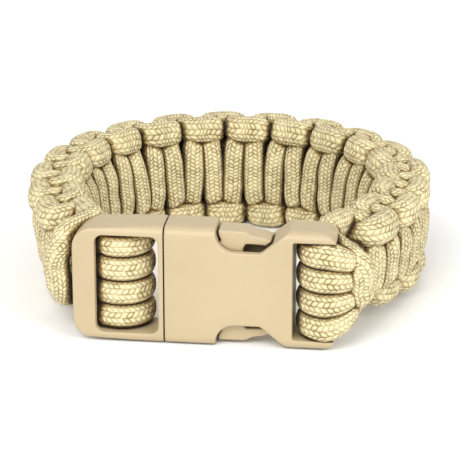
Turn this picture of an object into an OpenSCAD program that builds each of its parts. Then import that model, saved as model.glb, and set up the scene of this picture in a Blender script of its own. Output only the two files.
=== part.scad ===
// Paracord bracelet with a side-release buckle, lying on its edge, in millimetres.
// The loop axis is Z. The buckle faces -Y, and its plug lies toward -X.
// A cobra weave, half-knot by half-knot, ties two working cords round four core strands.

/* [Cord] */
// Diameter of the cord where it lies free
cord_d = 4; // [3.4:0.1:4.6]
// Share of that diameter that a core strand keeps where the knots squeeze it
core_squeeze = 0.535; // [0.5:0.005:0.58]
// Gap between neighbouring strands, and between cord and plastic
cord_gap = 0.1; // [0.05:0.01:0.15]

/* [Loop] */
// Radius of the bend beside the buckle, on the band's middle line
corner_r = 8; // [7:0.5:10]
// Angle turned in that bend
corner_turn = 56; // [52:1:60]
// Radius of each side of the loop
side_r = 46; // [42:0.5:50]
// Angle turned in each side
side_turn = 36; // [32:1:40]
// Heading at which the weave starts beside the socket
socket_lead_turn = 61; // [60:1:64]
// Heading at which the weave ends beside the plug
plug_lead_turn = 60; // [60:1:64]
// Distance from there to the first and last knot
knot_lead = 1.6; // [1.6:0.1:2.6]
// Distance from one knot to the next, as a share of the cord's diameter
pitch_share = 1.085; // [1:0.005:1.15]
// Distance from the socket's bar back to where the loop starts to bend
bend_lead = 6; // [5.2:0.1:6.8]
// How far the band leans outward for each unit of height, so that its top rim is the wider one
flare = 0.14; // [0:0.01:0.18]

/* [Buckle] */
// Length of the socket
socket_len = 27.6; // [26:0.2:31]
// Thickness of the buckle
buckle_t = 7.6; // [7:0.1:9]
// Height of the rails above and below the strands
rail_h = 1.7; // [1.5:0.1:2.4]
// Radius along the buckle's long edges
edge_r = 1.6; // [1:0.1:2]
// Radius of the buckle's four outer corners
corner_round = 3.2; // [2.4:0.1:3.4]
// How much lower each long edge of the plug lies at its outer end
plug_taper = 0.8; // [0:0.1:0.9]
// Clearance between the plug's insert and the socket's cavity
fit_gap = 0.2; // [0.1:0.05:0.3]
// Gap that shows at the seam between plug and socket
seam_gap = 0.2; // [0.1:0.05:0.4]

/* [Plug] */
// Width of the plug's end bar, which the strands pass behind
end_bar_w = 3.6; // [3:0.1:4]
// Thickness of that bar at its two edges
end_bar_edges = [1.8, 3.4]; // [1:0.1:4]
// Length of the window between the end bar and the seam
window_len = 10.2; // [9.4:0.1:12]
// Length of the bar between the window and the seam
seam_bar_w = 1; // [0.8:0.1:1.6]
// Radius of the window's corners in its front lip
window_round = 1.4; // [0.6:0.1:1.6]
// Thickness of that lip
lip_t = 1.4; // [1:0.1:1.6]
// Diameter of the bars that the strands wrap
bar_d = 2.4; // [2:0.1:2.8]
// How far the wrapped bar of the plug lies behind the buckle's middle plane
plug_bar_back = 2.2; // [1.8:0.1:2.6]
// How far that bar lies from the window's middle, toward the end bar
plug_bar_shift = 1.5; // [1:0.1:1.7]
// Thickness of the guide between the prongs
guide_t = 2.4; // [2:0.1:3.4]
// Width of the guide
guide_w = 3.2; // [2:0.1:4]
// Width of each prong
prong_w = 2; // [1.6:0.1:2.2]
// How far each prong's head lies below the socket's long edge
head_sink = 0.6; // [0.3:0.1:0.9]
// Gap between the head and the cut-out's edge
head_gap = 0.3; // [0.2:0.05:0.5]

/* [Socket] */
// Thickness of the socket's front and back walls
wall = 1.4; // [1.2:0.1:1.8]
// Length of the two arms that hold the socket's bar
arm_len = 7.2; // [6.6:0.1:8]
// Distance from the socket's end to its bar's middle
bar_inset = 1.6; // [1.5:0.1:2]
// How far that bar lies behind the buckle's middle plane
socket_bar_back = 0.5; // [0:0.1:1]
// Width of the cut-out that bares each prong
cutout_w = 11.8; // [10:0.1:12.4]
// Depth of that cut-out
cutout_depth = 3.8; // [3.4:0.1:4.2]
// Radius of the cut-out's corner next to the seam
cutout_bend = 3.2; // [2.6:0.1:3.4]
// Length of the cut-out's level floor
cutout_floor = 4; // [3:0.2:5]
// Distance from the seam to that cut-out
cutout_start = 8.1; // [7.6:0.1:9]
// Height of the wall between the cavity and the socket's long edges
edge_wall = 2.4; // [2:0.1:2.8]

/* [Hidden] */
$fn = 72;
cord_sides = 8;
strand_count = 4;
plastic_colour = "#E8D3AA";
cord_colour = "#C8B789";
core_colour = "#BBA878";
overlap = 0.5; // how far a cutting shape runs past the face that it cuts

// Half a period of an outer cord, from the middle of one crossbar to the next.
// Along is in knot pitches, across and out in cord diameters, girth in cord radii.
ALONG = 0;
ACROSS = 1;
OUT = 2;
GIRTH = 3;
HALF_KNOT = [
    // along, across,  out, girth
    [ 0.00,  0.00,  0.76, 0.91],
    [-0.08,  0.79,  0.76, 0.90],
    [-0.19,  1.27,  0.57, 0.60],
    [-0.33,  1.52,  0.05, 0.47],
    [-0.36,  1.72, -0.42, 0.47],
    [-0.05,  2.00, -0.65, 0.62],
    [ 0.34,  2.11, -0.67, 0.75],
    [ 0.70,  2.10, -0.50, 0.78],
    [ 1.00,  2.06, -0.20, 0.68],
    [ 1.18,  1.74,  0.18, 0.49],
    [ 1.15,  1.25,  0.53, 0.54],
    [ 1.07,  0.79,  0.75, 0.84]
];
rows = len(HALF_KNOT);
first_row = 8;   // the row before the first crossbar where a cord starts
last_row = 5;    // the row after the last crossbar where a cord ends
end_girth = 0.6; // share of the girth left at a melted end

// The band as the table makes it
flat_share = cos(180 / cord_sides); // reach of a section's flat sides, in its radii
band_w = 2 * cord_d * max([for (row = HALF_KNOT) row[ACROSS] + row[GIRTH] / 2 * flat_share]);
rear_reach = cord_d * max([for (row = HALF_KNOT)
    abs(row[OUT]) + flare * abs(row[ACROSS]) + row[GIRTH] / 2 * flat_share]);
wanted_pitch = pitch_share * cord_d;

// The buckle, along X from its own middle
strand_pitch = cord_d + cord_gap;
slot_h = strand_count * strand_pitch + cord_gap;
buckle_h = slot_h + 2 * rail_h;
mid_z = max(buckle_h, band_w) / 2;
plug_len = end_bar_w + window_len + seam_bar_w;
buckle_half = (plug_len + socket_len) / 2;
seam_x = plug_len - buckle_half;
wrap_r = bar_d / 2 + cord_gap + cord_d / 2;
socket_bar_x = buckle_half - bar_inset;
plug_bar_x = end_bar_w + window_len / 2 - plug_bar_shift - buckle_half;

// The loop's middle line, on the right half: a straight, a bend, a side and the rear arc
front_half = socket_bar_x - bend_lead;
side_end_turn = corner_turn + side_turn;
corner_end_x = front_half + corner_r * sin(corner_turn);
corner_end_y = corner_r * (1 - cos(corner_turn));
side_end_x = corner_end_x + side_r * (sin(side_end_turn) - sin(corner_turn));
side_end_y = corner_end_y + side_r * (cos(corner_turn) - cos(side_end_turn));
rear_r = side_end_x / sin(side_end_turn);
loop_depth = side_end_y + rear_r * (1 + cos(side_end_turn));
corner_end_s = front_half + arc_len(corner_r, corner_turn);
side_end_s = corner_end_s + arc_len(side_r, side_turn);
half_s = side_end_s + arc_len(rear_r, 180 - side_end_turn);
front_reach = wrap_r + cord_d / 2 * flat_share - socket_bar_back;
front_y = (front_reach - loop_depth - rear_reach) / 2;

// The weave's stretch along the middle line, from the socket round the rear to the plug
weave_start = corner_end_s + arc_len(side_r, socket_lead_turn - corner_turn);
weave_end = 2 * half_s - corner_end_s - arc_len(side_r, plug_lead_turn - corner_turn);
knot_len = weave_end - weave_start - 2 * knot_lead;
knots = round(knot_len / wanted_pitch) + 1;
knot_pitch = knot_len / (knots - 1);

// The core strands inside the weave, and their turns round the two bars
core_d = core_squeeze * cord_d;
core_pitch = core_d + cord_gap;
BARS = [[socket_bar_x, front_y + socket_bar_back], [plug_bar_x, front_y + plug_bar_back]];
weave_steps = 18;
wrap_steps = 8;
leg_sleeve = 1.02;
leg_end_girth = 0.6; // share of a squeezed strand's girth at an inner leg's end

// The plug's insert
foot_len = 1.6;  // length of the foot that carries the guide and the prongs
head_neck = 0.36; // share of the cut-out's length at which a prong's arm ends
// Outline of a prong's head from its top corner, in lengths and depths of the cut-out
HEAD = [
    // along, deep
    [0.00,  0.00],
    [0.40, -0.03],
    [0.50, -0.20],
    [0.62, -0.26],
    [0.79, -0.44],
    [0.80, -0.54],
    [0.73, -0.62],
    [0.40, -0.56],
    [0.36, -0.80],
    [0.36, -1.00],
    [0.00, -1.00]
];

function arc_len(radius, turn) = radius * turn * PI / 180;

// Heading of the middle line at the distance s from the front middle, on the right half
function half_turn(s) =
    s < front_half ? 0 :
    s < corner_end_s ? (s - front_half) / corner_r * 180 / PI :
    s < side_end_s ? corner_turn + (s - corner_end_s) / side_r * 180 / PI :
    side_end_turn + (s - side_end_s) / rear_r * 180 / PI;
function half_point(s) = let (turn = half_turn(s))
    s < front_half ? [s, 0] :
    s < corner_end_s ? [front_half + corner_r * sin(turn), corner_r * (1 - cos(turn))] :
    s < side_end_s ? [corner_end_x + side_r * (sin(turn) - sin(corner_turn)),
                      corner_end_y + side_r * (cos(corner_turn) - cos(turn))] :
    [rear_r * sin(turn), loop_depth - rear_r * (1 + cos(turn))];

// Heading and place anywhere on the loop, past the rear on its left half.
// Across is up the band's width, out is away from the wrist.
function turn_at(s) = s <= half_s ? half_turn(s) : 360 - half_turn(2 * half_s - s);
function place(s, across, out) = let (
        left = s > half_s,
        p = half_point(left ? 2 * half_s - s : s),
        turn = turn_at(s),
        leaning = out + flare * across)
    [(left ? -p.x : p.x) + leaning * sin(turn), front_y + p.y - leaning * cos(turn), mid_z + across];

// Sweeping a round section along stations of [middle, radius, direction that points out].
// The first and last stations only aim the section at their neighbours.
function unit(v) = v / norm(v);
function ring(c, ahead, out, radius) = let (
        up = unit(out - (out * ahead) * ahead),
        side = cross(ahead, up))
    [for (k = [0 : cord_sides - 1]) let (a = 360 * (k + 0.5) / cord_sides)
        c + radius * (cos(a) * up + sin(a) * side)];
module swept(path) {
    count = len(path) - 2;
    points = [for (i = [1 : count]) let (ahead = unit(path[i + 1][0] - path[i - 1][0]))
        each ring(path[i][0], ahead, path[i][2], path[i][1])];
    n = cord_sides;
    sides = [for (i = [0 : count - 2], k = [0 : n - 1]) let (
            a = i * n + k, b = i * n + (k + 1) % n)
        each [[a, a + n, b], [b, a + n, b + n]]];
    first = [for (k = [0 : n - 1]) k];
    last = [for (k = [n - 1 : -1 : 0]) (count - 1) * n + k];
    polyhedron(points, concat(sides, [first, last]));
}

// One working cord. Face 1 crosses on the outer face of the band, face -1 on the inner.
module working_cord(face) {
    first = first_row - rows;
    last = rows * (knots - 1) + last_row;
    path = [for (i = [first - 1 : last + 1]) let (
            knot = floor(i / rows),
            row = HALF_KNOT[i - knot * rows],
            swing = (knot % 2 == 0 ? -1 : 1) * face,
            s = weave_start + knot_lead + (knot + row[ALONG]) * knot_pitch,
            middle = place(s, swing * row[ACROSS] * cord_d, face * row[OUT] * cord_d),
            melted = i <= first || i >= last ? end_girth : 1)
        [middle, row[GIRTH] * cord_d / 2 * melted, middle - place(s, 0, 0)]];
    swept(path);
}

// Stations round a bar, from one angle to another
function wrap(bar, z, from, to, steps) = [for (k = [0 : steps]) let (
        a = from + (to - from) * k / steps)
    [[bar.x + wrap_r * cos(a), bar.y + wrap_r * sin(a), z], cord_d / 2, [cos(a), sin(a), 0]]];
// Stations along the band at one height, whose outer side is the band's
function along_weave(from, to, across) = [for (k = [0 : weave_steps]) let (
        s = from + (to - from) * k / weave_steps, p = place(s, across, 0))
    [p, core_d / 2, place(s, across, 1) - p]];

// A station whose girth grows by the share that lets an inner leg sleeve the wrap that it joins
function fuller(station) = [station[0], station[1] * leg_sleeve, station[2]];

// A core strand lies round both bars and runs through the weave on its way between them.
// From each bar a second leg leads back to the weave's mouth, on the inner side.
module core_strand(i) {
    z_bar = mid_z + (i - (strand_count - 1) / 2) * strand_pitch;
    weave = along_weave(weave_start, weave_end, (i - (strand_count - 1) / 2) * core_pitch);
    mouths = [weave[0], weave[weave_steps]];
    aims = [for (e = [0, 1]) atan2(mouths[e][0].y - BARS[e].y, mouths[e][0].x - BARS[e].x)];
    reach = [for (e = [0, 1])
        acos(wrap_r / norm([mouths[e][0].x, mouths[e][0].y] - BARS[e]))];
    // From the inner leg's end of each wrap round the far side to the outer leg's end
    wraps = [for (e = [0, 1]) let (side = e == 0 ? 1 : -1)
        wrap(BARS[e], z_bar, aims[e] + side * reach[e], aims[e] + side * (360 - reach[e]), wrap_steps)];
    color(core_colour) {
        swept(concat(
            [mouths[0]], wraps[0], weave, [for (k = [wrap_steps : -1 : 0]) wraps[1][k]], [mouths[1]]));
        for (e = [0, 1]) {
            leg_end = [mouths[e][0], leg_end_girth * core_d / 2, -mouths[e][2]];
            swept([wraps[e][2], fuller(wraps[e][1]), fuller(wraps[e][0]), leg_end,
                weave[e == 0 ? 1 : weave_steps - 1]]);
        }
    }
}

// Moves a shape drawn on the buckle's face, X along it and Y up it, to stand in the loop
module on_face() {
    translate([0, front_y, mid_z]) rotate([90, 0, 0]) children();
}
// A block centred on the buckle's middle plane
module face_block(x_from, x_to, height, thickness) {
    translate([x_from, -height / 2, -thickness / 2]) cube([x_to - x_from, height, thickness]);
}
// An outline drawn on the face, with the given thickness about the middle plane
module face_prism(thickness) {
    translate([0, 0, -thickness / 2]) linear_extrude(thickness) children();
}

// The buckle's bar from x_from to x_to with its long edges rounded
module rounded_block(x_from, x_to) {
    translate([x_from, 0, 0])
        rotate([90, 0, 90])
            linear_extrude(x_to - x_from)
                union() {
                    square([buckle_h, buckle_t - 2 * edge_r], center = true);
                    square([buckle_h - 2 * edge_r, buckle_t], center = true);
                    for (u = [-1, 1], v = [-1, 1])
                        translate([u * (buckle_h / 2 - edge_r), v * (buckle_t / 2 - edge_r)])
                            circle(edge_r);
                }
}

// The face outline from a straight edge at the seam to an end with round corners
module end_outline(seam, end, taper) {
    toward = sign(end - seam);
    slope = atan(taper / abs(end - seam));
    bend = [end - toward * corner_round,
            buckle_h / 2 - taper + corner_round * tan(slope) - corner_round / cos(slope)];
    touch = bend + corner_round * [toward * sin(slope), cos(slope)];
    polygon([
        [seam, -buckle_h / 2], [touch.x, -touch.y], [end, -bend.y],
        [end, bend.y], [touch.x, touch.y], [seam, buckle_h / 2]
    ]);
    for (v = [-1, 1])
        translate([bend.x, v * bend.y]) circle(corner_round);
}

cavity_t = buckle_t - 2 * wall;
cavity_h = buckle_h - 2 * edge_wall;
insert_t = cavity_t - 2 * fit_gap;
cutout_x = seam_x + cutout_start;
body_end_x = buckle_half - arm_len;
cutout_floor_y = buckle_h / 2 - cutout_depth;
cavity_end_x = body_end_x - wall;

// The cut-out in the socket's long edge, drawn inward of its own edge by the given gap
module cutout_outline(gap) {
    bend_mid = [cutout_x + cutout_bend, cutout_floor_y + cutout_bend];
    bend_r = cutout_bend - gap;
    translate(bend_mid) circle(bend_r);
    polygon([
        [bend_mid.x - bend_r, buckle_h],
        [bend_mid.x - bend_r, bend_mid.y],
        [bend_mid.x, bend_mid.y - bend_r],
        [bend_mid.x + cutout_floor, bend_mid.y - bend_r],
        [cutout_x + cutout_w - gap, buckle_h / 2],
        [cutout_x + cutout_w - gap, buckle_h]
    ]);
}

module socket() {
    color(plastic_colour) on_face() {
        difference() {
            intersection() {
                rounded_block(seam_x, buckle_half);
                face_prism(buckle_t + 2 * overlap) end_outline(seam_x, buckle_half, 0);
            }
            face_block(seam_x - overlap, cavity_end_x, cavity_h, cavity_t);
            for (v = [0, 1])
                mirror([0, v, 0]) face_prism(buckle_t + 2 * overlap) cutout_outline(0);
            face_block(body_end_x, buckle_half + overlap, slot_h, buckle_t + 2 * overlap);
        }
        translate([socket_bar_x, 0, -socket_bar_back]) rotate([90, 0, 0])
            cylinder(h = slot_h + rail_h, d = bar_d, center = true);
    }
}

// One prong on the face: an arm inside the cavity and a head that fills part of the cut-out
foot_end_x = seam_x + foot_len;
module prong_outline() {
    arm_y = cavity_h / 2 - fit_gap;
    top = buckle_h / 2 - head_sink;
    arm_end_x = cutout_x + head_neck * cutout_w;
    polygon([
        [foot_end_x, arm_y - prong_w], [arm_end_x, arm_y - prong_w],
        [arm_end_x, arm_y], [foot_end_x, arm_y]
    ]);
    intersection() {
        cutout_outline(head_gap);
        translate([cutout_x, top])
            polygon([for (p = HEAD) [p.x * cutout_w, p.y * cutout_depth]]);
    }
}

module window_outline() {
    window_x = end_bar_w - buckle_half;
    square_len = window_len - 2 * window_round;
    translate([window_x + window_len / 2, 0]) {
        square([window_len, slot_h - 2 * window_round], center = true);
        square([square_len, slot_h], center = true);
        for (u = [-1, 1], v = [-1, 1])
            translate([u * square_len / 2, v * (slot_h / 2 - window_round)]) circle(window_round);
    }
}

module plug() {
    plug_end = -buckle_half;
    frame_x = seam_x - seam_gap;
    window_x = plug_end + end_bar_w;
    color(plastic_colour) on_face() {
        difference() {
            intersection() {
                rounded_block(plug_end, frame_x);
                face_prism(buckle_t + 2 * overlap) end_outline(frame_x, plug_end, plug_taper);
            }
            translate([0, 0, -lip_t])
                face_block(window_x, window_x + window_len, slot_h, buckle_t);
            face_prism(buckle_t + 2 * overlap) window_outline();
            // The strands pass behind the end bar
            translate([0, slot_h / 2, 0]) rotate([90, 0, 0])
                linear_extrude(slot_h)
                    polygon([
                        [window_x + overlap, buckle_t / 2 - end_bar_edges[0]],
                        [window_x, buckle_t / 2 - end_bar_edges[0]],
                        [window_x - end_bar_w / 2, buckle_t / 2 - end_bar_edges[1]],
                        [plug_end - overlap, buckle_t / 2 - end_bar_edges[1]],
                        [plug_end - overlap, -buckle_t / 2 - overlap],
                        [window_x + overlap, -buckle_t / 2 - overlap]
                    ]);
        }
        translate([plug_bar_x, 0, -plug_bar_back]) rotate([90, 0, 0])
            cylinder(h = slot_h + rail_h, d = bar_d, center = true);
        // The insert: a foot, a guide and two prongs
        face_block(frame_x - overlap, foot_end_x + overlap, cavity_h - 2 * fit_gap, insert_t);
        face_block(seam_x, body_end_x - 2 * wall, guide_w, guide_t);
        for (v = [0, 1])
            mirror([0, v, 0]) face_prism(insert_t) prong_outline();
    }
}

module outer_cord() {
    color(cord_colour) working_cord(1);
}
module inner_cord() {
    color(cord_colour) working_cord(-1);
}
module core_strand_1() {
    core_strand(0);
}
module core_strand_2() {
    core_strand(1);
}
module core_strand_3() {
    core_strand(2);
}
module core_strand_4() {
    core_strand(3);
}

socket();
plug();
outer_cord();
inner_cord();
core_strand_1();
core_strand_2();
core_strand_3();
core_strand_4();
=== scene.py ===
"""Looks of a paracord bracelet with a side-release buckle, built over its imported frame.

Lengths are in millimetres up to the point where a mesh is made, and in metres from there on.
"""
import math

import bpy
import numpy as np
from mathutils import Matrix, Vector
from mathutils.bvhtree import BVHTree


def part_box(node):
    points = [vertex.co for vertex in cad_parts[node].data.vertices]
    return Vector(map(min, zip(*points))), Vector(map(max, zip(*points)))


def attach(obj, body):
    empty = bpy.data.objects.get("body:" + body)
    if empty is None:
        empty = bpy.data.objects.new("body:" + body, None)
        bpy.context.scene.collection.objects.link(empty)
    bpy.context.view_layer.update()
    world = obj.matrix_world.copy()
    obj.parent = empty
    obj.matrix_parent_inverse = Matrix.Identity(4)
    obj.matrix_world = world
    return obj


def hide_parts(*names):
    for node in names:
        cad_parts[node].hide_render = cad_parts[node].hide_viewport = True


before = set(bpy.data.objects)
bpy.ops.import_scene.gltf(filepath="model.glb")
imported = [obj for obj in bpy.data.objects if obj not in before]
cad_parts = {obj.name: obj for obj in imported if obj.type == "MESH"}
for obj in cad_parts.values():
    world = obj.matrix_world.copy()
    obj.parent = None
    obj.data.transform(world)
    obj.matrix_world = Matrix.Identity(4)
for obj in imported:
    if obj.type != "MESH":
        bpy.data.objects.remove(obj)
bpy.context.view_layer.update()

MM = 0.001
PLUG_LOW, PLUG_HIGH = (np.array(corner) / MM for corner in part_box("plug"))
FRONT_Y = (PLUG_LOW[1] + PLUG_HIGH[1]) / 2
MID_Z = (PLUG_LOW[2] + PLUG_HIGH[2]) / 2
BUCKLE_HALF = -PLUG_LOW[0]

# Colours, as red, green and blue from 0 to 1
WHITE = (1.0, 1.0, 1.0)
PAPER = (0.96, 0.96, 0.96)
SAND = (0.495, 0.395, 0.236)
# The sheath's two ends of colour: its tone, and with it a painted highlight on stitch crowns and
# painted shade in the grooves between stitches
KHAKI_LIGHT_AND_HIGHLIGHT = (0.92, 0.80, 0.475)
KHAKI_DARK_AND_SHADE = (0.24, 0.17, 0.055)
KHAKI_WORN = (0.90, 0.90, 0.88)
# Painted shade in the sheath's creases between pieces, deep and soft
CREASE_SHADE_DEEP = (0.07, 0.04, 0.012)
CREASE_SHADE_SOFT = (0.44, 0.34, 0.18)
# Painted shade in the plastic's nooks, seams and gaps
NOOK_SHADE = (0.20, 0.14, 0.06)

# The bars that the strands wrap: how far each lies from its end of the buckle, and how far
# behind the buckle's middle plane
SOCKET_BAR_INSET = 1.6
SOCKET_BAR_BACK = 0.5
PLUG_BAR_INSET = 7.2
PLUG_BAR_BACK = 2.2
SOCKET_BAR = np.array([BUCKLE_HALF - SOCKET_BAR_INSET, FRONT_Y + SOCKET_BAR_BACK])
PLUG_BAR = np.array([PLUG_BAR_INSET - BUCKLE_HALF, FRONT_Y + PLUG_BAR_BACK])

# Section of all cords: a power of 1 gives an ellipse, and a lower one is squarer
SQUARENESS = 0.84

# The strands round the bars: radius and rows of the turn, pitch, half thickness, and how much
# wider than thick they are pressed
STRANDS = 4
WRAP_R = 3.3
WRAP_STEPS = 13
STRAND_PITCH = 4.05
WRAPPED_R = 2.06
STRAND_PRESS = 1.07
# Their mesh: distance between rings, steps between rows, and points in a ring
STRAND_SPACING = 0.35
STRAND_SPLINE_STEPS = 6
STRAND_SIDES = 24
# At the socket they close up toward the weave, the upper two less than the lower two.
# The closing grows over the turn from this value to 1, and counts where it is above 0.
CLOSING_START = -1.6
CLOSING_UPPER = 0.38
CLOSING_LOWER = 0.48
CLOSING_R = 0.25
# Their legs in the weave's mouth: distances into it, pitch, place off the band, half thickness
LEG_INSIDE = 2.0
LEG_OUTSIDE = -1.5
LEG_PITCH = 2.9
INNER_LEG_OUT = -1.3
INNER_LEG_R = 1.5
OUTER_LEG_OUT = 0.9
OUTER_LEG_R = 1.45
# The strands inside the weave: half thickness, pitch, and how far from a mouth that part starts
CORE_R = 1.25
CORE_PITCH = 2.65
CORE_LEAD = 8
CORE_POINTS = 40
# Where a strand's own end is hidden: the distance into the weave, and the place off the band
HIDDEN_END = 7.0
HIDDEN_OUT = -0.6

# The loop's middle line: a straight, a bend, a side and the rear arc, mirrored at the rear
BEND_LEAD = 6.0
CORNER_R = 8.0
CORNER_TURN = math.radians(56)
SIDE_R = 46.0
SIDE_TURN = math.radians(36)

# The weave: the headings where it starts and ends, the way to its first knot, and the pitch
SOCKET_LEAD_TURN = math.radians(61)
PLUG_LEAD_TURN = math.radians(60)
KNOT_LEAD = 1.6
WANTED_PITCH = 4.34

# The band leans outward by this share of its height, and its top rim tips outward with it
FLARE = 0.14
ROLL = 0.14
RIM_START = 5.4

# Its lower half is narrower at the socket and at the plug, by a share that fades over a length
PINCH = 0.45
PINCH_LEN = 21.0
PLUG_PINCH = 0.30
PLUG_PINCH_LEN = 6.0

# Round BULGE_AT past its start, on the socket's side, it stands out a little and leans less
BULGE = 1.4
BULGE_AT = 22.0
BULGE_LEN = 13.0
UPRIGHT = 0.7

FRONT_HALF = SOCKET_BAR[0] - BEND_LEAD
SIDE_END_TURN = CORNER_TURN + SIDE_TURN
CORNER_END = np.array([
    FRONT_HALF + CORNER_R * math.sin(CORNER_TURN),
    CORNER_R * (1 - math.cos(CORNER_TURN))])
SIDE_END = CORNER_END + SIDE_R * np.array([
    math.sin(SIDE_END_TURN) - math.sin(CORNER_TURN),
    math.cos(CORNER_TURN) - math.cos(SIDE_END_TURN)])
REAR_R = SIDE_END[0] / math.sin(SIDE_END_TURN)
LOOP_DEPTH = SIDE_END[1] + REAR_R * (1 + math.cos(SIDE_END_TURN))
CORNER_END_S = FRONT_HALF + CORNER_R * CORNER_TURN
SIDE_END_S = CORNER_END_S + SIDE_R * SIDE_TURN
HALF_S = SIDE_END_S + REAR_R * (math.pi - SIDE_END_TURN)
WEAVE_START = CORNER_END_S + SIDE_R * (SOCKET_LEAD_TURN - CORNER_TURN)
WEAVE_END = 2 * HALF_S - CORNER_END_S - SIDE_R * (PLUG_LEAD_TURN - CORNER_TURN)
KNOT_LEN = WEAVE_END - WEAVE_START - 2 * KNOT_LEAD
KNOTS = round(KNOT_LEN / WANTED_PITCH) + 1
PITCH = KNOT_LEN / (KNOTS - 1)

# Half a period of a working cord, from the middle of one crossbar to the next.
# Along is in knot pitches; across, out and the section's two half widths are in millimetres.
# The last three columns are the direction in which the section is thin: along, across and out.
HALF_KNOT = np.array([
    # along, across, out, wide, thick, thin direction
    [0.00, 0.0, 3.05, 2.34, 1.80, 0.0, 0.0, 1.0],
    [-0.03, 2.6, 3.05, 2.30, 1.80, 0.0, 0.0, 1.0],
    [-0.08, 4.6, 2.60, 2.05, 1.60, -0.2, 0.2, 1.0],
    [-0.20, 5.9, 1.00, 1.95, 1.45, -0.7, 0.6, 0.2],
    [-0.26, 6.8, -0.90, 2.00, 1.40, -1.0, 0.2, -0.1],
    [-0.17, 7.3, -2.10, 2.35, 1.75, -0.7, 0.1, -0.7],
    [0.08, 7.5, -2.55, 2.45, 2.10, -0.1, 0.2, -1.0],
    [0.45, 7.5, -2.55, 2.45, 2.20, 0.0, 0.2, -1.0],
    [0.80, 7.5, -2.45, 2.42, 2.10, 0.1, 0.2, -1.0],
    [1.04, 7.6, -1.60, 2.25, 1.80, 0.8, 0.2, -0.6],
    [1.12, 7.6, 0.10, 2.10, 1.60, 1.0, 0.4, 0.1],
    [1.11, 6.3, 1.60, 2.20, 1.70, 0.6, 0.5, 0.6],
    [1.07, 4.5, 2.60, 2.05, 1.60, 0.1, 0.2, 1.0],
    [1.03, 2.5, 3.05, 2.30, 1.80, 0.0, 0.0, 1.0],
])
# Rows from a crossbar's middle over which it widens as the band's face stretches in a bend
BAR_ROWS = 2.6
STRETCH_RANGE = (0.9, 1.15)
# Short steps on the band that give its stretch and a section's thin direction
STRETCH_PROBE = 0.5
THIN_PROBE = 0.1
# The outer cord's extra crossbar at each end lies higher and further along, over the strands
END_LIFT = 2.5
END_SHIFT = 0.35
# Rows that a cord runs on past its last crossbar
END_ROWS = 4
# The melted cap that closes an end: its length, and the square of its width at the tip
MELT_LEN = 1.2
MELT_TIP = 0.02
# How unevenly the knots are tied: along in pitches, out in millimetres, thick as a share.
# The spare ones before the first knot and after the last are for the cords' ends.
UNEVEN_ALONG = 0.03
UNEVEN_OUT = 0.10
UNEVEN_THICK = 0.03
SPARE_KNOTS = 2
OUTER_SEED = 7
INNER_SEED = 11
# The cords' mesh: distance between rings, steps between rows, and points in a ring
CORD_SPACING = 0.42
CORD_SPLINE_STEPS = 10
CORD_SIDES = 26

# Painted crease shade: heights above a face at which the next face is looked for, and what each
# counts for.
# The far one counts for less on the strands, which lie side by side in the open.
NEAR_REACHES = ((0.5 * MM, 1.0), (1.1 * MM, 1.0))
FAR_REACH = 2.6 * MM
CORD_FAR_WEIGHT = 0.55
STRAND_FAR_WEIGHT = 0.2


def loop_point(s):
    """Point and heading of the loop's middle line at the distances s from the front middle."""
    left = s > HALF_S
    half = np.where(left, 2 * HALF_S - s, s)
    stretches = [half < FRONT_HALF, half < CORNER_END_S, half < SIDE_END_S]
    turn = np.select(
        stretches,
        [0 * half, (half - FRONT_HALF) / CORNER_R, CORNER_TURN + (half - CORNER_END_S) / SIDE_R],
        SIDE_END_TURN + (half - SIDE_END_S) / REAR_R)
    x = np.select(
        stretches,
        [half, FRONT_HALF + CORNER_R * np.sin(turn),
         CORNER_END[0] + SIDE_R * (np.sin(turn) - math.sin(CORNER_TURN))],
        REAR_R * np.sin(turn))
    y = np.select(
        stretches,
        [0 * half, CORNER_R * (1 - np.cos(turn)),
         CORNER_END[1] + SIDE_R * (math.cos(CORNER_TURN) - np.cos(turn))],
        LOOP_DEPTH - REAR_R * (1 + np.cos(turn)))
    return np.where(left, -x, x), FRONT_Y + y, np.where(left, 2 * math.pi - turn, turn)


def place(s, across, out):
    """Points of the band: s along its middle line, across up its width and out from the loop."""
    s, across, out = np.broadcast_arrays(*(np.asarray(v, float) for v in (s, across, out)))
    x, y, turn = loop_point(s)
    pinch = (PINCH * np.exp(-np.clip(s - WEAVE_START, 0, None) / PINCH_LEN)
             + PLUG_PINCH * np.exp(-np.clip(WEAVE_END - s, 0, None) / PLUG_PINCH_LEN))
    across = across * (1 - pinch * (across < 0))
    up = across - ROLL * out * np.clip(across / RIM_START, 0, 1)
    fuller = np.exp(-((s - WEAVE_START - BULGE_AT) / BULGE_LEN) ** 2)
    out = out + FLARE * (1 - UPRIGHT * fuller) * across + BULGE * fuller
    return np.stack([x + out * np.sin(turn), y - out * np.cos(turn), MID_Z + up], axis=-1)


def spline(points, steps):
    """Catmull-Rom curve through the points, with the given steps between two of them."""
    points = np.asarray(points, float)
    padded = np.vstack([2 * points[0] - points[1], points, 2 * points[-1] - points[-2]])
    t = (np.arange(steps) / steps)[None, :, None]
    a, b, c, d = (padded[k:len(padded) - 3 + k, None, :] for k in range(4))
    second = 2 * a - 5 * b + 4 * c - d
    third = 3 * b - a - 3 * c + d
    curve = 0.5 * (2 * b + (c - a) * t + second * t ** 2 + third * t ** 3)
    return np.vstack([curve.reshape(-1, points.shape[1]), points[-1:]])


def running_length(points):
    """Distance of each point from the first one, along the line through them."""
    return np.concatenate([[0], np.cumsum(np.linalg.norm(np.diff(points, axis=0), axis=1))])


def even_spacing(path, spacing):
    """The same path with its rows at an even distance along its first three columns."""
    lengths = running_length(path[:, :3])
    wanted = np.linspace(0, lengths[-1], max(2, round(lengths[-1] / spacing) + 1))
    return np.column_stack([np.interp(wanted, lengths, path[:, k]) for k in range(path.shape[1])])


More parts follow.
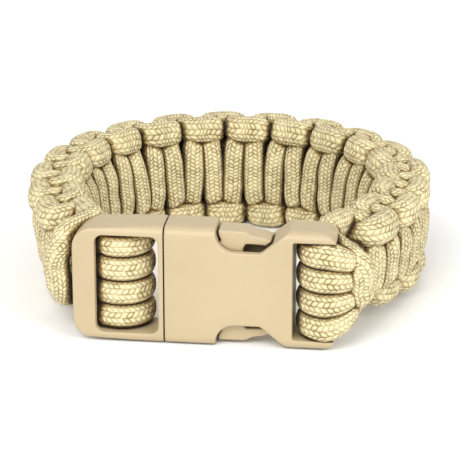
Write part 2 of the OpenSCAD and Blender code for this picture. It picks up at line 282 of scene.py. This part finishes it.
def tube_faces(lengths, sides):
    """Faces of a closed tube with a ring of points at each length, and a UV for each corner."""
    faces = []
    uvs = []
    last = len(lengths) - 1
    for i in range(last):
        here = i * sides
        there = here + sides
        for k in range(sides):
            after = (k + 1) % sides
            faces.append((here + k, here + after, there + after, there + k))
            uvs += [(lengths[i], k / sides), (lengths[i], (k + 1) / sides),
                    (lengths[i + 1], (k + 1) / sides), (lengths[i + 1], k / sides)]
    for ring, order in ((0, range(sides - 1, -1, -1)), (last, range(sides))):
        faces.append(tuple(ring * sides + k for k in order))
        uvs += [(lengths[ring], k / sides) for k in order]
    return faces, uvs


def tube(name, path, wide, thick, out, sides):
    """A tube of oval section along the path, with its length and the turn round it as UV."""
    ahead = np.gradient(path, axis=0)
    ahead /= np.linalg.norm(ahead, axis=1)[:, None]
    up = out - (out * ahead).sum(axis=1)[:, None] * ahead
    up /= np.linalg.norm(up, axis=1)[:, None]
    side = np.cross(ahead, up)
    angles = 2 * math.pi * np.arange(sides) / sides
    waves = (np.cos(angles), np.sin(angles))
    upward, sideways = (np.sign(wave) * np.abs(wave) ** SQUARENESS for wave in waves)
    rings = (path[:, None, :]
             + thick[:, None, None] * upward[None, :, None] * up[:, None, :]
             + wide[:, None, None] * sideways[None, :, None] * side[:, None, :])
    faces, uvs = tube_faces(running_length(path), sides)
    mesh = bpy.data.meshes.new(name)
    mesh.from_pydata((rings.reshape(-1, 3) * MM).tolist(), [], faces)
    layer = mesh.uv_layers.new(name="sheath")
    layer.data.foreach_set("uv", np.array(uvs, float).ravel())
    mesh.polygons.foreach_set("use_smooth", [True] * len(mesh.polygons))
    mesh.validate()
    piece = bpy.data.objects.new(name, mesh)
    bpy.context.scene.collection.objects.link(piece)
    return piece


class Graph:
    """Short calls that add linked nodes to a material."""

    # Sockets of a colour Mix node: its factor, its two colours and its result
    MIX_FACTOR = 0
    MIX_A = 6
    MIX_B = 7
    MIX_RESULT = 2

    def __init__(self, name):
        self.material = bpy.data.materials.new(name)
        self.material.use_nodes = True
        self.tree = self.material.node_tree
        self.shader = self.tree.nodes["Principled BSDF"]

    def add(self, kind, inputs=(), **settings):
        """A new node with these settings, and then fed by these inputs."""
        node = self.tree.nodes.new(kind)
        for key, value in settings.items():
            setattr(node, key, value)
        for socket, value in dict(inputs).items():
            self.feed(node.inputs[socket], value)
        return node

    def feed(self, socket, value):
        """Links a node's output to the socket, or sets the socket to a plain value."""
        if isinstance(value, bpy.types.NodeSocket):
            self.tree.links.new(value, socket)
        else:
            socket.default_value = value

    def math(self, operation, *values):
        """Result of a Math node."""
        node = self.add("ShaderNodeMath", operation=operation)
        for socket, value in zip(node.inputs, values):
            self.feed(socket, value)
        return node.outputs[0]

    def ramp(self, factor, stops):
        """Colour of a ramp with these (position, colour) stops."""
        node = self.add("ShaderNodeValToRGB", {0: factor})
        elements = node.color_ramp.elements
        while len(elements) < len(stops):
            elements.new(0.5)
        for element, (position, colour) in zip(elements, stops):
            element.position = position
            element.color = (*colour, 1)
        return node.outputs[0]

    def multiply(self, a, b):
        """Product of two colours."""
        inputs = {self.MIX_FACTOR: 1.0, self.MIX_A: a, self.MIX_B: b}
        node = self.add("ShaderNodeMix", inputs, data_type="RGBA", blend_type="MULTIPLY")
        return node.outputs[self.MIX_RESULT]

    def noise(self, scale, detail, vector):
        """Noise from 0 to 1 at this scale, with so many octaves of detail."""
        inputs = {"Scale": scale, "Detail": detail, "Vector": vector}
        return self.add("ShaderNodeTexNoise", inputs).outputs["Fac"]

    def shade(self, values):
        """Feeds the shader's own sockets by name, and returns the material."""
        for socket, value in values.items():
            self.feed(self.shader.inputs[socket], value)
        return self.material


def sheath_material(name, light, dark):
    """Braided nylon sheath: columns of slanting stitches, each with its own tone, with painted
    shade in the stitches' grooves and in the creases between pieces.
    """
    columns = 16
    stitch_len = 0.64
    slant = 0.5
    rounding = 3.6
    tone_share = 0.4
    height_shade_share = 0.6
    middle_share = 0.65
    fibre_scale = 2600.0
    fibre_height = 0.12
    wear_scale = 160.0

    g = Graph(name)
    uv = g.add("ShaderNodeUVMap", uv_map="sheath").outputs[0]
    parts = g.add("ShaderNodeSeparateXYZ", {"Vector": uv}).outputs
    around = g.math("MULTIPLY", parts["Y"], columns)
    column = g.math("FLOOR", around)
    x = g.math("SUBTRACT", g.math("FRACT", around), 0.5)

    # Every other column leans the other way, and starts half a stitch further on
    odd = g.math("MODULO", column, 2)
    lean = g.math("MULTIPLY_ADD", odd, 2 * slant, -slant)
    along = g.math("DIVIDE", parts["X"], stitch_len)
    along = g.math("ADD", along, g.math("MULTIPLY", odd, 0.5))
    along = g.math("MULTIPLY_ADD", x, lean, along)
    row = g.math("FLOOR", along)
    y = g.math("SUBTRACT", g.math("FRACT", along), 0.5)

    # A stitch is highest in its middle; its colour is painted lightest there and darker toward its
    # edges, as painted highlight and painted shade, and each stitch has its own tone
    crowns = [
        g.math("SUBTRACT", 1, g.math("MULTIPLY", g.math("MULTIPLY", v, v), rounding))
        for v in (x, y)]
    height = g.math("MULTIPLY", *crowns)
    cell = g.add("ShaderNodeCombineXYZ", {"X": column, "Y": row}).outputs["Vector"]
    tones = g.add("ShaderNodeTexWhiteNoise", {"Vector": cell}, noise_dimensions="3D")
    tone = tones.outputs["Value"]
    tone_and_shade = g.math("MULTIPLY_ADD", tone, tone_share, g.math("MULTIPLY", height, height_shade_share))
    middle = [(1 - middle_share) * a + middle_share * b for a, b in zip(dark, light)]
    colour = g.ramp(tone_and_shade, [(0.10, dark), (0.38, middle), (0.90, light)])

    coords = g.add("ShaderNodeTexCoord").outputs["Object"]
    worn = g.noise(wear_scale, 3.0, coords)
    colour = g.multiply(colour, g.ramp(worn, [(0.3, KHAKI_WORN), (0.7, WHITE)]))
    # Painted shade in the creases between pieces, darkest where the stored openness is lowest
    openness = g.add("ShaderNodeAttribute", attribute_name="openness").outputs["Fac"]
    shadow = g.ramp(openness, [(0.0, CREASE_SHADE_DEEP), (0.25, CREASE_SHADE_SOFT), (0.65, WHITE)])
    fibre = g.noise(fibre_scale, 2.0, coords)
    rough = g.math("MULTIPLY_ADD", fibre, fibre_height, height)
    bump = g.add("ShaderNodeBump", {"Height": rough, "Strength": 1.0, "Distance": 0.0003})
    return g.shade({
        "Base Color": g.multiply(colour, shadow),
        "Roughness": 0.72,
        "Specular IOR Level": 0.25,
        "Sheen Weight": 0.08,
        "Sheen Roughness": 0.5,
        "Normal": bump.outputs[0]})


def plastic_material(name, colour):
    """Moulded acetal: satin, with a faint grain, slightly uneven gloss and painted shade in its
    nooks.
    """
    cloud_scale = 90.0
    cloud_depth = 0.93
    grain_scale = 3200.0
    gloss_range = 0.14
    gloss_least = 0.34

    g = Graph(name)
    coords = g.add("ShaderNodeTexCoord").outputs["Object"]
    cloud = g.noise(cloud_scale, 3.0, coords)
    deep = [c * cloud_depth for c in colour]
    tone = g.ramp(cloud, [(0.35, deep), (0.7, colour)])
    # Painted shade in nooks, seams and gaps, from ambient occlusion
    nook = g.add("ShaderNodeAmbientOcclusion", {"Distance": 0.0009}, samples=8).outputs["AO"]
    shadow = g.ramp(nook, [(0.15, NOOK_SHADE), (0.6, WHITE)])
    grain = g.noise(grain_scale, 2.0, coords)
    bump = g.add("ShaderNodeBump", {"Height": grain, "Strength": 0.12, "Distance": 0.00006})
    return g.shade({
        "Base Color": g.multiply(tone, shadow),
        "Roughness": g.math("MULTIPLY_ADD", cloud, gloss_range, gloss_least),
        "Subsurface Weight": 0.08,
        "Subsurface Scale": 0.0008,
        "Normal": bump.outputs[0]})


def cord_rows(face):
    """Rows of a working cord along the weave, in nine columns.

    They are the distance along the band, across, out, the two half widths, how near the row is
    to a crossbar's middle, and the thin direction. The outer cord, face 1, has one more crossbar
    at each end.
    """
    rows = len(HALF_KNOT)
    beyond = rows if face > 0 else 0
    first = -beyond - END_ROWS
    last = rows * (KNOTS - 1) + beyond + END_ROWS
    rng = np.random.default_rng(OUTER_SEED if face > 0 else INNER_SEED)
    uneven = rng.normal(0, 1, (KNOTS + 2 * SPARE_KNOTS, 3))
    stations = []
    for i in range(first, last + 1):
        knot = i // rows
        row = HALF_KNOT[i - knot * rows]
        along, across, out, wide, thick, thin_along, thin_across, thin_out = row
        swing = -face * (-1) ** knot
        shift = uneven[knot + SPARE_KNOTS]
        before = np.clip(-knot - along, 0, 1)
        after = np.clip(knot + along - KNOTS + 1, 0, 1)
        out += END_LIFT * (before + after) * (out > 0)
        along += END_SHIFT * (after - before)
        bar = max(0, 1 - abs(((i + rows // 2) % rows) - rows // 2) / BAR_ROWS)
        stations.append([
            WEAVE_START + KNOT_LEAD + (knot + along + UNEVEN_ALONG * shift[0]) * PITCH,
            swing * across,
            face * (out + UNEVEN_OUT * shift[1]),
            wide,
            thick * (1 + UNEVEN_THICK * shift[2]),
            bar,
            thin_along,
            swing * thin_across,
            face * thin_out])
    return stations


def working_cord(name, face, material):
    """One working cord of the weave: face 1 crosses on the band's outer face, and -1 inside."""
    rows = spline(cord_rows(face), CORD_SPLINE_STEPS)
    s, across, out, wide, thick, bar, thin_along, thin_across, thin_out = rows.T
    ahead = place(s + STRETCH_PROBE, 0, out)
    behind = place(s - STRETCH_PROBE, 0, out)
    stretch = np.linalg.norm(ahead - behind, axis=1).clip(*STRETCH_RANGE)
    on_bar = np.clip(bar * 2, 0, 1)
    wide = wide * (1 + (stretch - 1) * on_bar)
    points = place(s, across, out)
    thin = place(
        s + thin_along * THIN_PROBE,
        across + thin_across * THIN_PROBE,
        out + thin_out * THIN_PROBE) - points
    path = even_spacing(np.column_stack([points, wide, thick, thin]), CORD_SPACING)
    numbers = np.arange(len(path))
    from_end = np.minimum(numbers, numbers[::-1]) * CORD_SPACING
    melt = np.minimum(from_end / MELT_LEN, 1)
    closing = np.sqrt(np.clip(1 - (1 - melt) ** 2, MELT_TIP, 1))
    wide = path[:, 3] * closing
    thick = path[:, 4] * closing
    piece = tube(name, path[:, :3], wide, thick, path[:, 5:8], CORD_SIDES)
    piece.data.materials.append(material)
    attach(piece, "root")
    return piece


def wrap_rows(bar, z, start, end):
    """Rows of a strand round a bar: its middle, half thickness and direction off the bar."""
    angles = np.linspace(start, end, WRAP_STEPS)
    away = np.column_stack([np.cos(angles), np.sin(angles), 0 * angles])
    x = bar[0] + WRAP_R * away[:, 0]
    y = bar[1] + WRAP_R * away[:, 1]
    return np.column_stack([x, y, 0 * angles + z, np.full(WRAP_STEPS, WRAPPED_R), away])


def band_rows(distances, across, out, radius):
    """Rows of a strand along the band: its middle, half thickness and direction off the band."""
    distances = np.atleast_1d(distances)
    points = place(distances, across, out)
    away = place(distances, 0, 1) - place(distances, 0, 0)
    return np.column_stack([points, np.full(len(points), radius), away])


def strand_end(row, bar, mouth, side):
    """A strand's way from inside the weave out round its bar and back to the weave's mouth.

    Row counts up from the middle of the four. Side is 1 at the socket and -1 at the plug.
    """
    end = place(mouth, 0, 0)[:2]
    aim = math.atan2(end[1] - bar[1], end[0] - bar[0])
    reach = math.acos(WRAP_R / np.linalg.norm(end - bar))
    start_angle = aim + side * reach
    end_angle = aim + side * (2 * math.pi - reach)
    wrap = wrap_rows(bar, MID_Z + row * STRAND_PITCH, start_angle, end_angle)
    if side > 0:
        leaving = np.clip(np.linspace(CLOSING_START, 1, WRAP_STEPS), 0, 1)
        closing = CLOSING_UPPER if row > 0 else CLOSING_LOWER
        wrap[:, 2] = MID_Z + (wrap[:, 2] - MID_Z) * (1 - closing * leaving)
        wrap[:, 3] *= 1 - CLOSING_R * leaving
    inward = mouth + side * np.array([LEG_INSIDE, LEG_OUTSIDE])
    across = row * LEG_PITCH
    hidden = band_rows(mouth + side * HIDDEN_END, row * CORE_PITCH, HIDDEN_OUT, CORE_R)
    inner_leg = band_rows(inward, across, INNER_LEG_OUT, INNER_LEG_R)
    outer_leg = band_rows(inward[::-1], across, OUTER_LEG_OUT, OUTER_LEG_R)
    return np.vstack([hidden, inner_leg, wrap, outer_leg])


def core_strand(index, material):
    """A core strand: round the socket's bar, through the weave and round the plug's bar."""
    row = index - (STRANDS - 1) / 2
    socket_end = strand_end(row, SOCKET_BAR, WEAVE_START, 1)
    plug_end = strand_end(row, PLUG_BAR, WEAVE_END, -1)
    distances = np.linspace(WEAVE_START + CORE_LEAD, WEAVE_END - CORE_LEAD, CORE_POINTS)
    through = band_rows(distances, row * CORE_PITCH, 0.0, CORE_R)
    rows = np.vstack([socket_end, through, plug_end[::-1]])
    path = even_spacing(spline(rows, STRAND_SPLINE_STEPS), STRAND_SPACING)
    thick = path[:, 3]
    piece = tube(
        f"strand_{index + 1}", path[:, :3], thick * STRAND_PRESS, thick, path[:, 4:7], STRAND_SIDES)
    piece.data.materials.append(material)
    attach(piece, "root")
    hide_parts(f"core_strand_{index + 1}")
    return piece


def surface_tree(pieces):
    """One search tree over the faces of all the pieces."""
    points = []
    faces = []
    for piece in pieces:
        start = len(points)
        points += [vertex.co.copy() for vertex in piece.data.vertices]
        faces += [[start + k for k in face.vertices] for face in piece.data.polygons]
    return BVHTree.FromPolygons(points, faces)


def mark_crease_shade(cords, strands, obstacles):
    """Stores how open each point lies, from 0 in a crease between pieces to 1 on a free face; the
    sheath's material paints shade from it.
    """
    tree = surface_tree(cords + strands + obstacles)
    for piece in cords + strands:
        far_weight = STRAND_FAR_WEIGHT if piece in strands else CORD_FAR_WEIGHT
        reaches = (*NEAR_REACHES, (FAR_REACH, far_weight))
        values = []
        for vertex in piece.data.vertices:
            openness = 1.0
            for reach, weight in reaches:
                probe = vertex.co + vertex.normal * reach
                found, normal, _, distance = tree.find_nearest(probe)
                if (probe - found).dot(normal) < 0:
                    distance = 0.0
                openness *= 1 - weight * (1 - min(1.0, distance / reach))
            values.append(openness)
        layer = piece.data.attributes.new("openness", "FLOAT", "POINT")
        layer.data.foreach_set("value", values)


def soften(node, material):
    """Rounds every edge of a moulded piece a little, by a fine remesh and a smoothing."""
    voxel = 0.2
    passes = 5
    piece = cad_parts[node]
    remesh = piece.modifiers.new("soft_edges", "REMESH")
    remesh.mode = "VOXEL"
    remesh.voxel_size = voxel * MM
    remesh.use_smooth_shade = True
    smooth = piece.modifiers.new("smooth", "SMOOTH")
    smooth.factor = 0.5
    smooth.iterations = passes
    piece.data.materials.clear()
    piece.data.materials.append(material)


def make_floor():
    """A plain pale floor, four metres wide."""
    half = 2.0
    corners = [(-half, -half, 0), (half, -half, 0), (half, half, 0), (-half, half, 0)]
    mesh = bpy.data.meshes.new("floor")
    mesh.from_pydata(corners, [], [(0, 1, 2, 3)])
    floor = bpy.data.objects.new("floor", mesh)
    bpy.context.scene.collection.objects.link(floor)
    paper = Graph("paper").shade({"Base Color": (*PAPER, 1), "Roughness": 0.9})
    mesh.materials.append(paper)


def make_light(name, position, size, power):
    """A square soft light that points at the middle of the floor."""
    data = bpy.data.lights.new(name, "AREA")
    data.size = size
    data.energy = power
    lamp = bpy.data.objects.new(name, data)
    lamp.location = position
    lamp.rotation_mode = "QUATERNION"
    lamp.rotation_quaternion = (-Vector(position)).to_track_quat("-Z", "Y")
    bpy.context.scene.collection.objects.link(lamp)


def make_lights():
    """Even white light from all round, with a key from the front left and a fill from the right."""
    daylight = 0.76
    world = bpy.data.worlds.new("studio")
    world.use_nodes = True
    background = world.node_tree.nodes["Background"]
    background.inputs["Color"].default_value = (*WHITE, 1)
    background.inputs["Strength"].default_value = daylight
    bpy.context.scene.world = world
    make_light("key", (-0.15, -0.50, 0.45), size=0.40, power=3.0)
    make_light("fill", (0.50, -0.35, 0.30), size=0.40, power=2.0)


def make_camera():
    """The photograph's view: its direction, distance and scale, and where the loop's middle is."""
    azimuth = math.radians(7.0)
    elevation = math.radians(19.8)
    distance = 380.0
    pixels_per_mm = 5.8
    frame_px = 460
    middle_px = (229.5, 219.5)
    back = Vector((
        math.sin(azimuth) * math.cos(elevation),
        -math.cos(azimuth) * math.cos(elevation),
        math.sin(elevation)))
    right = Vector((math.cos(azimuth), math.sin(azimuth), 0))
    up = back.cross(right)
    aim = (Vector((0, 0, MID_Z))
           + right * (frame_px / 2 - middle_px[0]) / pixels_per_mm
           - up * (frame_px / 2 - middle_px[1]) / pixels_per_mm)
    data = bpy.data.cameras.new("camera")
    data.lens = data.sensor_width * distance * pixels_per_mm / frame_px
    data.clip_start = 0.01
    camera = bpy.data.objects.new("camera", data)
    camera.location = (aim + back * distance) * MM
    camera.rotation_mode = "QUATERNION"
    camera.rotation_quaternion = (-back).to_track_quat("-Z", "Y")
    bpy.context.scene.collection.objects.link(camera)
    bpy.context.scene.camera = camera


def main():
    """Dresses the frame: the stage, then the buckle, the weave and the strands."""
    make_camera()
    make_lights()
    make_floor()
    bpy.context.scene.view_settings.view_transform = "Standard"
    sand = plastic_material("sand_plastic", SAND)
    khaki = sheath_material("khaki_sheath", KHAKI_LIGHT_AND_HIGHLIGHT, KHAKI_DARK_AND_SHADE)
    soften("socket", sand)
    soften("plug", sand)
    outer = working_cord("weave_outer", 1, khaki)
    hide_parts("outer_cord")
    inner = working_cord("weave_inner", -1, khaki)
    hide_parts("inner_cord")
    strands = [core_strand(index, khaki) for index in range(STRANDS)]
    mark_crease_shade([outer, inner], strands, [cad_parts["socket"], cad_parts["plug"]])


main()
